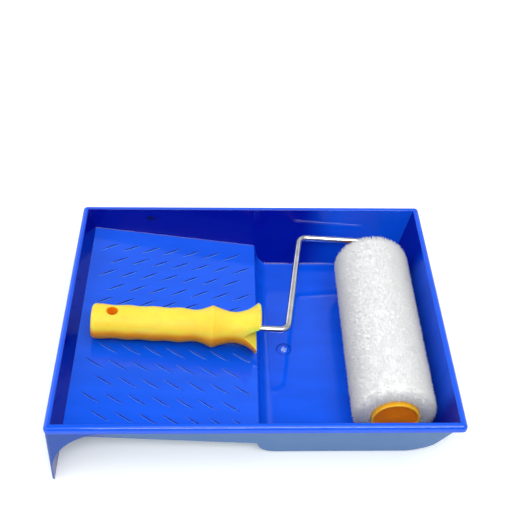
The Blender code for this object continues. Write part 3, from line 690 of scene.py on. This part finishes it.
rod_corners = [Vector(spot) for spot in (
    (GRIP_MOUTH_X - TANG_LENGTH, GRIP_Y), (ARM_FOOT_X, GRIP_Y),
    (ARM_TOP_X, CROSSBAR_Y), (0, CROSSBAR_Y), (0, AXLE_TIP_Y))]
path = rounded_path(rod_corners, BENDS)
start, start_heading = path[0]
end, end_heading = path[-1]
stations = [(start, start_heading, ROD_RADIUS - ROD_CHAMFER),
            (start + start_heading * ROD_CHAMFER, start_heading, ROD_RADIUS)]
stations += [(spot, heading, ROD_RADIUS) for spot, heading in path[1:-1]]
stations += [(end - end_heading * ROD_CHAMFER, end_heading, ROD_RADIUS),
             (end, end_heading, ROD_RADIUS - ROD_CHAMFER)]
wire = loft("wire_rod", [rod_ring(*station) for station in stations])
wire.data.transform(to_world)
shade(wire, 40)
plated_rod = surface("plated_rod", {"Metallic": 1.0}, rod_fields)
place(wire, "roller_frame", plated_rod, "wire_frame")

# The grip is a round moulding in slightly see-through yellow plastic, pushed on the tang: a butt
# with a hang hole, soft waves, a sharp collar, a waist and a flare that a slot splits in two.
GRIP_RADIUS = 14.7 * MM
GRIP_DIP_RADIUS = 14 * MM
GRIP_WAVE = 21.8 * MM
GRIP_WAVE_START = 8.5 * MM
GRIP_WAVE_COUNT = 3
LAST_CREST = (GRIP_RADIUS, 73.9 * MM)
NECK = (13.5 * MM, 88 * MM)
COLLAR = (17.9 * MM, 101 * MM)
WAIST = (13.2 * MM, 117.5 * MM)
BELL = (15.8 * MM, 130.6 * MM)
BUTT_EDGE_RADIUS = 3.5 * MM
FLARE_RADIUS = 21.8 * MM
FLARE_EDGE = 2.2 * MM
HANG_HOLE_AT = 17.3 * MM
HANG_HOLE_RADIUS = 4.6 * MM
HANG_HOLE_EDGE = 0.7 * MM
HANG_HOLE_SINK = 0.6 * MM
BORE_RADIUS = 3.3 * MM
BORE_CHAMFER = 0.6 * MM
SOCKET_SPARE = 0.3 * MM
SLOT_LENGTH = 14.8 * MM
SLOT_RAISE = 3.8 * MM
SLOT_RISE = 13.5 * MM
SLOT_FALL = 9.5 * MM
PETAL_SETBACK = 2.5 * MM
CURVE_STEPS = 6
EDGE_STEPS = 6
TURNED_FACETS = 96
HOLE_FACETS = 48
GRIP_YELLOWS = ((0.98, 0.66, 0.068, 1), (1.0, 0.72, 0.082, 1))
# Painted shade on the grip's downward faces.
UNDERSIDE_SHADE_ORANGE = (1.0, 0.36, 0.004, 1)


def between(before, first, second, after, t):
    """Value at share t of the way from first to second, on a Catmull-Rom curve."""
    return 0.5 * (2 * first + (second - before) * t
                  + (2 * before - 5 * first + 4 * second - after) * t ** 2
                  + (3 * first - before - 3 * second + after) * t ** 3)


def smooth_curve(points):
    """Smooth curve through (radius, along, sharp) points, with a corner at each sharp one."""
    curve = []
    for i in range(len(points) - 1):
        first = points[i]
        second = points[i + 1]
        before = points[i - 1] if i > 0 and not first[2] else first
        after = points[i + 2] if i + 2 < len(points) and not second[2] else second
        for step in range(CURVE_STEPS):
            t = step / CURVE_STEPS
            spot = [between(before[k], first[k], second[k], after[k], t) for k in (0, 1)]
            curve.append(tuple(spot))
    curve.append(points[-1][:2])
    return curve


def grip_profile():
    """Half section of the grip as (radius, along from its butt)."""
    shape = [(GRIP_RADIUS, BUTT_EDGE_RADIUS, False)]
    for wave in range(GRIP_WAVE_COUNT):
        crest = GRIP_WAVE_START + wave * GRIP_WAVE
        shape.append((GRIP_RADIUS, crest, False))
        shape.append((GRIP_DIP_RADIUS, crest + GRIP_WAVE / 2, False))
    shape += [(*LAST_CREST, False), (*NECK, False), (*COLLAR, True), (*WAIST, False),
              (*BELL, False), (FLARE_RADIUS, GRIP_LENGTH - FLARE_EDGE, True)]
    butt_centre = (GRIP_RADIUS - BUTT_EDGE_RADIUS, BUTT_EDGE_RADIUS)
    butt = arc(butt_centre, BUTT_EDGE_RADIUS, -90, 0, CORNER_STEPS)
    mouth_centre = (FLARE_RADIUS - FLARE_EDGE, GRIP_LENGTH - FLARE_EDGE)
    mouth = arc(mouth_centre, FLARE_EDGE, 0, 90, EDGE_STEPS)
    return [(0, 0), *butt[:-1], *smooth_curve(shape), *mouth[1:], (0, GRIP_LENGTH)]


def satin(where, cloud):
    """Uneven roughness and fine grain of the yellow and the orange plastic."""
    gloss = cloud * 0.12 + where.noise(1300, 1.0) * 0.08 + 0.24
    return {"Roughness": gloss, "Normal": where.noise(700, 3.0).bump(0.04 * MM)}


def grip_fields(where):
    """Yellow with a faint cloudiness from moulding, painted orange as shade where it faces down, in
    satin.
    """
    cloud = where.stretch(20, 60, 60).noise(1.0, 3.0)
    # Painted shade: faces turned down are coloured orange, as the yellow looks in shade.
    underside_painted_shade = 1 - where.facing().part("Z").ramp(0.0, 0.42)
    colour = underside_painted_shade.mix(cloud.ramp(0.3, 0.7).mix(*GRIP_YELLOWS), UNDERSIDE_SHADE_ORANGE)
    return {"Base Color": colour, **satin(where, cloud)}


grip_outline = [(radius, GRIP_BUTT_X + along) for radius, along in grip_profile()]
grip = turn("grip_body", grip_outline, TURNED_FACETS, "X")
socket_end = GRIP_MOUTH_X - TANG_LENGTH - SOCKET_SPARE
past_mouth = GRIP_MOUTH_X + CUT_PAST
bore = [(0, socket_end), (BORE_RADIUS, socket_end), (BORE_RADIUS, GRIP_MOUTH_X - BORE_CHAMFER),
        (BORE_RADIUS + CUT_PAST, past_mouth - BORE_CHAMFER), (0, past_mouth)]
combine(grip, turn("socket", bore, HOLE_FACETS, "X"), "DIFFERENCE")
hole_straight = GRIP_RADIUS - HANG_HOLE_EDGE - HANG_HOLE_SINK
hole = [(0, -2 * GRIP_RADIUS), (HANG_HOLE_RADIUS + GRIP_RADIUS, -2 * GRIP_RADIUS),
        (HANG_HOLE_RADIUS, -hole_straight), (HANG_HOLE_RADIUS, hole_straight),
        (HANG_HOLE_RADIUS + GRIP_RADIUS, 2 * GRIP_RADIUS), (0, 2 * GRIP_RADIUS)]
hang_hole = turn("hang_hole", hole, HOLE_FACETS, "Z")
hang_hole.location = (GRIP_BUTT_X + HANG_HOLE_AT, 0, 0)
combine(grip, hang_hole, "DIFFERENCE")
slot_x = GRIP_MOUTH_X - SLOT_LENGTH
spread = (past_mouth - slot_x) / SLOT_LENGTH
petal_end = GRIP_MOUTH_X - PETAL_SETBACK
past_flare = FLARE_RADIUS + CUT_PAST
slot = [(slot_x, SLOT_RAISE), (past_mouth, SLOT_RAISE - SLOT_FALL * spread),
        (past_mouth, SLOT_RAISE + SLOT_RISE * spread)]
trim = [(petal_end, SLOT_RAISE), (petal_end, -past_flare), (past_mouth, -past_flare),
        (past_mouth, SLOT_RAISE)]
for name, outline in (("slot", slot), ("trim", trim)):
    combine(grip, prism(name, outline, past_flare), "DIFFERENCE")
grip.data.transform(to_world @ Matrix.Translation((0, GRIP_Y, 0)))
shade(grip, 30)
grip_looks = {"Subsurface Weight": 1.0, "Subsurface Radius": (1.0, 0.25, 0.04),
              "Subsurface Scale": 0.008, "Specular IOR Level": 0.15}
place(grip, "roller_frame", surface("grip_plastic", grip_looks, grip_fields), "grip")

# The sleeve's two end caps are orange plastic cups pressed into the core, with a rolled rim that
# stands proud of the pile. The near one is closed; the far one is bored for the axle.
CORE_NEAR_Y = -100.48 * MM
CORE_FAR_Y = 74.68 * MM
CAP_RADIUS = 19.2 * MM
CAP_WALL = 2 * MM
CAP_PROUD = 4 * MM
CAP_LENGTH = 14 * MM
CAP_DISH = 1.2 * MM
CAP_BEAD = 0.8 * MM
CAP_FILLET = 0.35 * MM
CAP_FILLET_STEPS = 4
HUB_RADIUS = 6 * MM
HUB_LENGTH = 13 * MM
HUB_RISE = 0.3 * MM
HUB_BEVEL = 0.6 * MM
CAP_ORANGES = ((0.98, 0.22, 0.001, 1), (1.0, 0.26, 0.002, 1))
# Painted highlight on the caps' rolled rims.
CAP_RIM_HIGHLIGHT_ORANGE = (1.0, 0.50, 0.02, 1)


def cap_profile(bored):
    """Half section of an end cap as (radius, inward from its rim)."""
    inner = CAP_RADIUS - CAP_WALL
    back = CAP_DISH + CAP_WALL
    hub_face = CAP_DISH - HUB_RISE
    fillet_centre = (inner - CAP_FILLET, CAP_DISH - CAP_FILLET)
    outline = [(HUB_RADIUS, hub_face), (HUB_RADIUS + HUB_BEVEL, CAP_DISH),
               *arc(fillet_centre, CAP_FILLET, 90, 0, CAP_FILLET_STEPS),
               *arc((inner + CAP_BEAD, CAP_BEAD), CAP_BEAD, 180, 270, EDGE_STEPS),
               *arc((CAP_RADIUS - CAP_BEAD, CAP_BEAD), CAP_BEAD, 270, 360, EDGE_STEPS),
               (CAP_RADIUS, CAP_LENGTH), (inner, CAP_LENGTH), (inner, back), (HUB_RADIUS, back),
               (HUB_RADIUS, HUB_LENGTH), (BORE_RADIUS, HUB_LENGTH)]
    if bored:
        return [(BORE_RADIUS, hub_face), *outline]
    return [(0, hub_face), *outline, (BORE_RADIUS, back), (0, back)]


def cap_fields(where):
    """Orange with a faint cloudiness and a painted highlight of lighter orange on the rolled rim,
    in satin.
    """
    cloud = where.noise(90, 3.0)
    from_axis = where.stretch(1, 0, 1).distance((AXLE.x, 0, AXLE.z))
    # Painted highlight: the rolled rim is a lighter, yellower orange, as where it catches the light
    # from above.
    rim_painted_highlight = from_axis.ramp(0.0168, 0.0176)
    colour = rim_painted_highlight.mix(cloud.ramp(0.3, 0.7).mix(*CAP_ORANGES), CAP_RIM_HIGHLIGHT_ORANGE)
    return {"Base Color": colour, **satin(where, cloud)}


cap_looks = {"Subsurface Weight": 0.3, "Subsurface Radius": (1.0, 0.3, 0.05),
             "Subsurface Scale": 0.002, "Specular IOR Level": 0.35}
cap_plastic = surface("cap_plastic", cap_looks, cap_fields)
caps = (("near_end_cap", "near_cap", CORE_NEAR_Y - CAP_PROUD, 1, False),
        ("far_end_cap", "far_cap", CORE_FAR_Y + CAP_PROUD, -1, True))
for name, node, rim_y, inward_sign, bored in caps:
    profile = [(radius, rim_y + inward_sign * inward) for radius, inward in cap_profile(bored)]
    cap = turn(name, profile, TURNED_FACETS, "Y", closed=bored)
    cap.data.transform(to_world)
    shade(cap, 40)
    place(cap, "sleeve", cap_plastic, node)

# The pile is a white plush cover, glued round the core and rounded over at both ends: a dense mat
# of short fibre tufts that stand outward and lean a little, in drifting directions.
PILE_RADIUS = 33 * MM
MAT_RADIUS = 32 * MM
TIP_RADIUS = 34.9 * MM
PILE_EDGE_RADIUS = 8 * MM
PILE_OVERHANG = 1 * MM
PILE_NEAR_Y = CORE_NEAR_Y - PILE_OVERHANG
PILE_FAR_Y = CORE_FAR_Y + PILE_OVERHANG
CORE_RADIUS = 21.5 * MM
GLUED_RADIUS = CORE_RADIUS + 0.3 * MM
FREE_RADIUS = CORE_RADIUS + 1 * MM
FACE_RADIUS = CORE_RADIUS + 2.5 * MM
MAT_ROWS = 110
MAT_FACETS = 160
LUMP_HEIGHT = 0.7 * MM
SEAT_ROWS = 40
TUFT_SEED = 7
TUFT_COUNT = 66000
TUFT_LENGTH = 4.8 * MM
SHORTEST_TUFT = 0.62
TUFT_WIDTH = 0.42 * MM
TUFT_SIDES = 3
ROOT_SINK = 0.8 * MM
STRAY_LEAN = 0.15
TIP_SPREAD = 1.3 * MM
RUFFLE_DEPTH = 0.5 * MM
END_TURNED_OUT = 0.6
SIDE_ROUNDING = 0.35
DRIFT_SHIFT = (17.3, 5.1, 9.7)
FIBRE_WHITES = ((0.85, 0.852, 0.855, 1), (0.885, 0.885, 0.88, 1))
rng = np.random.default_rng(TUFT_SEED)
noise.seed_set(TUFT_SEED)


def pile_outline(rows):
    """Half section of the pile's mat from core to core: (radius, along) with rounded ends."""
    inset = PILE_RADIUS - MAT_RADIUS
    edge = PILE_EDGE_RADIUS - inset
    near = PILE_NEAR_Y + inset
    far = PILE_FAR_Y - inset
    straight = far - near - 2 * edge
    outline = [(GLUED_RADIUS, near), (FACE_RADIUS, near)]
    outline += arc((MAT_RADIUS - edge, near + edge), edge, -90, 0, CORNER_STEPS)
    outline += [(MAT_RADIUS, near + edge + straight * i / rows) for i in range(1, rows)]
    outline += arc((MAT_RADIUS - edge, far - edge), edge, 0, 90, CORNER_STEPS)
    outline += [(FACE_RADIUS, far), (GLUED_RADIUS, far)]
    return outline


def drift(points, scale, seed):
    """Smooth random vectors at points, the same on every run because the noise is seeded."""
    shift = Vector([seed * part for part in DRIFT_SHIFT])
    return np.array([noise.noise_vector(Vector(point) * scale + shift) for point in points])


def unit(vectors):
    """Rows of vectors, each scaled to length one."""
    return vectors / np.linalg.norm(vectors, axis=1)[:, None]


def pile_fields(where):
    """White fibre, a little greyer in patches."""
    patches = where.noise(480, 3.0)
    colour = patches.ramp(0.3, 0.7).mix(*FIBRE_WHITES)
    return {"Base Color": colour, "Roughness": where.noise(200, 1.0) * 0.1 + 0.85}


# The mat under the tufts, made a little lumpy where it is free of the core.
mat = turn("pile_mat", pile_outline(MAT_ROWS), MAT_FACETS, "Y", closed=True)
points = np.array([vertex.co for vertex in mat.data.vertices])
outward = np.array([vertex.normal for vertex in mat.data.vertices])
lumps = drift(points, 260, 1)[:, 0] * 0.4 + drift(points, 700, 2)[:, 0] * 0.2
free = np.hypot(points[:, 0], points[:, 2]) > FREE_RADIUS
points += outward * (lumps * LUMP_HEIGHT * free)[:, None]
mat.data.vertices.foreach_set("co", points.ravel())
mat.data.update()
mat.data.shade_smooth()

# Seats of the tufts, spread evenly over the mat, and the way that each tuft leans.
outline = np.array(pile_outline(SEAT_ROWS))
runs = np.hypot(*np.diff(outline, axis=0).T)
weights = runs * (outline[1:, 0] + outline[:-1, 0])
pick = rng.choice(len(runs), TUFT_COUNT, p=weights / weights.sum())
share = rng.random(TUFT_COUNT)[:, None]
seat = outline[pick] * (1 - share) + outline[pick + 1] * share
slope = unit(outline[pick + 1] - outline[pick])
angle = rng.random(TUFT_COUNT) * math.tau
radial = np.stack([np.cos(angle), np.zeros(TUFT_COUNT), np.sin(angle)], axis=1)
axial = np.array([0.0, 1.0, 0.0])
around = np.cross(axial, radial)
normal = radial * slope[:, 1:2] - axial * slope[:, :1]
root = radial * seat[:, :1] + axial * seat[:, 1:2] - normal * ROOT_SINK
lean = drift(root, 190, 3) * 0.14 + drift(root, 900, 4) * 0.05
lean += rng.normal(0, STRAY_LEAN, (TUFT_COUNT, 3))
heading = unit(normal + lean - normal * (lean * normal).sum(axis=1)[:, None])

# Each tuft is a slim three-sided cone from its root to its tip, which stays within the pile's
# outer radius. The tufts are shaded as one crowned surface with a little of their own rounding.
length = TUFT_LENGTH * (SHORTEST_TUFT + (1 - SHORTEST_TUFT) * rng.random(TUFT_COUNT))
curl = drift(root, 1500, 5) * 0.06
first = unit(np.cross(heading, around))
second = np.cross(heading, first)
spin = rng.random(TUFT_COUNT) * math.tau
tip = root + (heading + curl) * length[:, None]
reach = np.hypot(tip[:, 0], tip[:, 2])
ruffle = np.clip(drift(root, 230, 6)[:, 0] + 0.4, 0, 1) * RUFFLE_DEPTH
limit = TIP_RADIUS - ruffle - TIP_SPREAD * (1 - rng.random(TUFT_COUNT) ** 2)
tip[:, [0, 2]] *= np.minimum(1, limit / reach)[:, None]
crown = unit(normal + radial * np.abs(normal[:, 1:2]) * END_TURNED_OUT)
corners = []
normals = []
for k in range(TUFT_SIDES):
    turned = spin + math.tau * k / TUFT_SIDES
    spoke = first * np.cos(turned)[:, None] + second * np.sin(turned)[:, None]
    corners.append(root + spoke * TUFT_WIDTH)
    normals.append(crown + spoke * SIDE_ROUNDING)
corners.append(tip)
normals.append(crown)
vertices = np.stack(corners, axis=1).reshape(-1, 3)
vertex_normals = np.stack(normals, axis=1).reshape(-1, 3)
firsts = np.arange(TUFT_COUNT)[:, None] * (TUFT_SIDES + 1)
sides = np.concatenate([firsts + np.array([k, (k + 1) % TUFT_SIDES, TUFT_SIDES])
                        for k in range(TUFT_SIDES)])
tufts_mesh = bpy.data.meshes.new("pile_tufts")
tufts_mesh.from_pydata(vertices.tolist(), [], sides.tolist())
tufts_mesh.shade_smooth()
tufts_mesh.normals_split_custom_set_from_vertices(vertex_normals.tolist())
tufts = bpy.data.objects.new("pile_tufts", tufts_mesh)
bpy.context.scene.collection.objects.link(tufts)

fibre_looks = {"Subsurface Weight": 0.25, "Subsurface Radius": (1.0, 1.0, 1.0),
               "Subsurface Scale": 0.003, "Specular IOR Level": 0.1}
pile_fibre = surface("pile_fibre", fibre_looks, pile_fields)
for piece in (mat, tufts):
    piece.data.transform(to_world)
    place(piece, "sleeve", pile_fibre, "plush_cover")

# The core tube and the push nut stay as the CAD made them, hidden inside the sleeve: a pale
# extruded plastic tube, and a washer of dark spring steel pushed on the axle.
CORE_CREAMS = ((0.70, 0.67, 0.60, 1), (0.80, 0.77, 0.70, 1))
NUT_GREYS = ((0.38, 0.38, 0.41, 1), (0.52, 0.52, 0.54, 1))


def core_fields(where):
    """Pale plastic with faint extrusion lines along the tube."""
    lines = where.stretch(900, 12, 900).noise(1.0, 2.0)
    return {"Base Color": lines.mix(*CORE_CREAMS), "Roughness": lines * 0.2 + 0.5}


def nut_fields(where):
    """Dark spring steel with a brushed grain."""
    grain = where.stretch(300, 2000, 300).noise(1.0, 2.0)
    return {"Base Color": grain.mix(*NUT_GREYS), "Roughness": grain * 0.25 + 0.25}


hidden_looks = {"core_tube": surface("core_plastic_look", {}, core_fields),
                "push_nut": surface("spring_steel_look", {"Metallic": 1.0}, nut_fields)}
for node, material in hidden_looks.items():
    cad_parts[node].data.materials.clear()
    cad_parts[node].data.materials.append(material)

# The studio is no part of the object: a white paper floor, a large softbox overhead, a strip light
# in front, a dim surround that the gloss mirrors, and the camera at the photograph's angle.
FLOOR_SIZE = 30.0
FLOOR_DROP = 0.2 * MM
FLOOR_WHITES = ((0.88, 0.88, 0.88, 1), (0.90, 0.90, 0.90, 1))
FLOOR_GLOW_NEAR = (0.21, 0.235, 0.23, 1)
FLOOR_GLOW_FAR = (0.6, 0.6, 0.6, 1)
BLACK = (0, 0, 0, 1)
SURROUND_WHITE = (0.97, 0.98, 1.0, 1)
SENSOR_WIDTH = 36
LENS = 60.175
CAMERA_AT = (-0.02003, -0.50420, 0.60288)
YAW = math.radians(2.686)
PITCH = math.radians(44.227)
ROLL = math.radians(2.006)


def floor_fields(where):
    """White paper, lifted a little where it is seen directly, mirrored or through something."""
    seen = where.node("ShaderNodeLightPath", {}, {}, "Is Camera Ray")
    for ray in ("Is Glossy Ray", "Is Transmission Ray"):
        seen = seen + where.node("ShaderNodeLightPath", {}, {}, ray)
    far = where.distance((0, 0, 0)).ramp(0.8, 4.0)
    paper = where.noise(3, 1.0)
    return {"Base Color": paper.mix(*FLOOR_WHITES), "Roughness": paper * 0.02 + 0.9,
            "Emission Color": seen.mix(BLACK, far.mix(FLOOR_GLOW_NEAR, FLOOR_GLOW_FAR))}


def add_light(name, spot, target, size, power):
    """A rectangular area light at a spot, facing a target."""
    data = bpy.data.lights.new(name, "AREA")
    data.shape = "RECTANGLE"
    data.size, data.size_y = size
    data.energy = power
    lamp = bpy.data.objects.new(name, data)
    lamp.location = spot
    lamp.rotation_euler = (Vector(target) - Vector(spot)).to_track_quat("-Z", "Y").to_euler()
    bpy.context.scene.collection.objects.link(lamp)


def surround(where):
    """Brightness round the object: a pale horizon and panels on all sides, dim elsewhere."""
    x = where.part("X")
    y = where.part("Y")
    height = where.part("Z")
    behind = y.ramp(0.2, 0.6) * (1 - height.ramp(0.76, 0.84))
    ahead = (1 - y.ramp(-0.5, 0.1)) * height.ramp(0.55, 0.80)
    left = 1 - x.ramp(-0.7, -0.2)
    right = x.ramp(0.2, 0.7)
    beside = (left * 1.2 + right * 0.35) * height.ramp(0.1, 0.4)
    horizon = 1 - height.maths("ABSOLUTE").ramp(0.05, 0.12)
    return behind * 0.45 + ahead * 1.4 + beside + horizon * (0.9 - behind * 0.45) + 0.1


floor_build = bmesh.new()
bmesh.ops.create_grid(floor_build, x_segments=1, y_segments=1, size=FLOOR_SIZE / 2)
floor = add_piece("studio_floor", floor_build)
floor.location = (0, 0, -FLOOR_DROP)
floor_looks = {"Specular IOR Level": 0.0, "Emission Strength": 1.0}
floor.data.materials.append(surface("studio_white", floor_looks, floor_fields))
add_light("softbox", spot=(0.18, -0.05, 1.5), target=(0, 0, 0), size=(1.0, 1.1), power=6)
add_light("front_strip", spot=(0.15, -0.80, 1.2), target=(0.05, 0, 0), size=(1.0, 0.3), power=8)

world = bpy.data.worlds.new("studio")
world.use_nodes = True
world_tree = world.node_tree
world_light = world_tree.nodes["Background"]
world_light.inputs["Color"].default_value = SURROUND_WHITE
direction = world_tree.nodes.new("ShaderNodeTexCoord").outputs["Generated"]
brightness = surround(Field(world_tree, direction))
world_tree.links.new(brightness.socket, world_light.inputs["Strength"])
bpy.context.scene.world = world

camera_data = bpy.data.cameras.new("camera")
camera_data.sensor_width = SENSOR_WIDTH
camera_data.lens = LENS
camera = bpy.data.objects.new("camera", camera_data)
forward = Vector((math.sin(YAW) * math.cos(PITCH), math.cos(YAW) * math.cos(PITCH),
                  -math.sin(PITCH)))
level = Vector((math.cos(YAW), -math.sin(YAW), 0))
rise = level.cross(forward)
camera_x = level * math.cos(ROLL) + rise * math.sin(ROLL)
camera_y = rise * math.cos(ROLL) - level * math.sin(ROLL)
camera_turn = Matrix((camera_x, camera_y, -forward)).transposed().to_4x4()
camera.matrix_world = Matrix.Translation(CAMERA_AT) @ camera_turn
bpy.context.scene.collection.objects.link(camera)
bpy.context.scene.camera = camera
bpy.context.scene.view_settings.view_transform = "Standard"
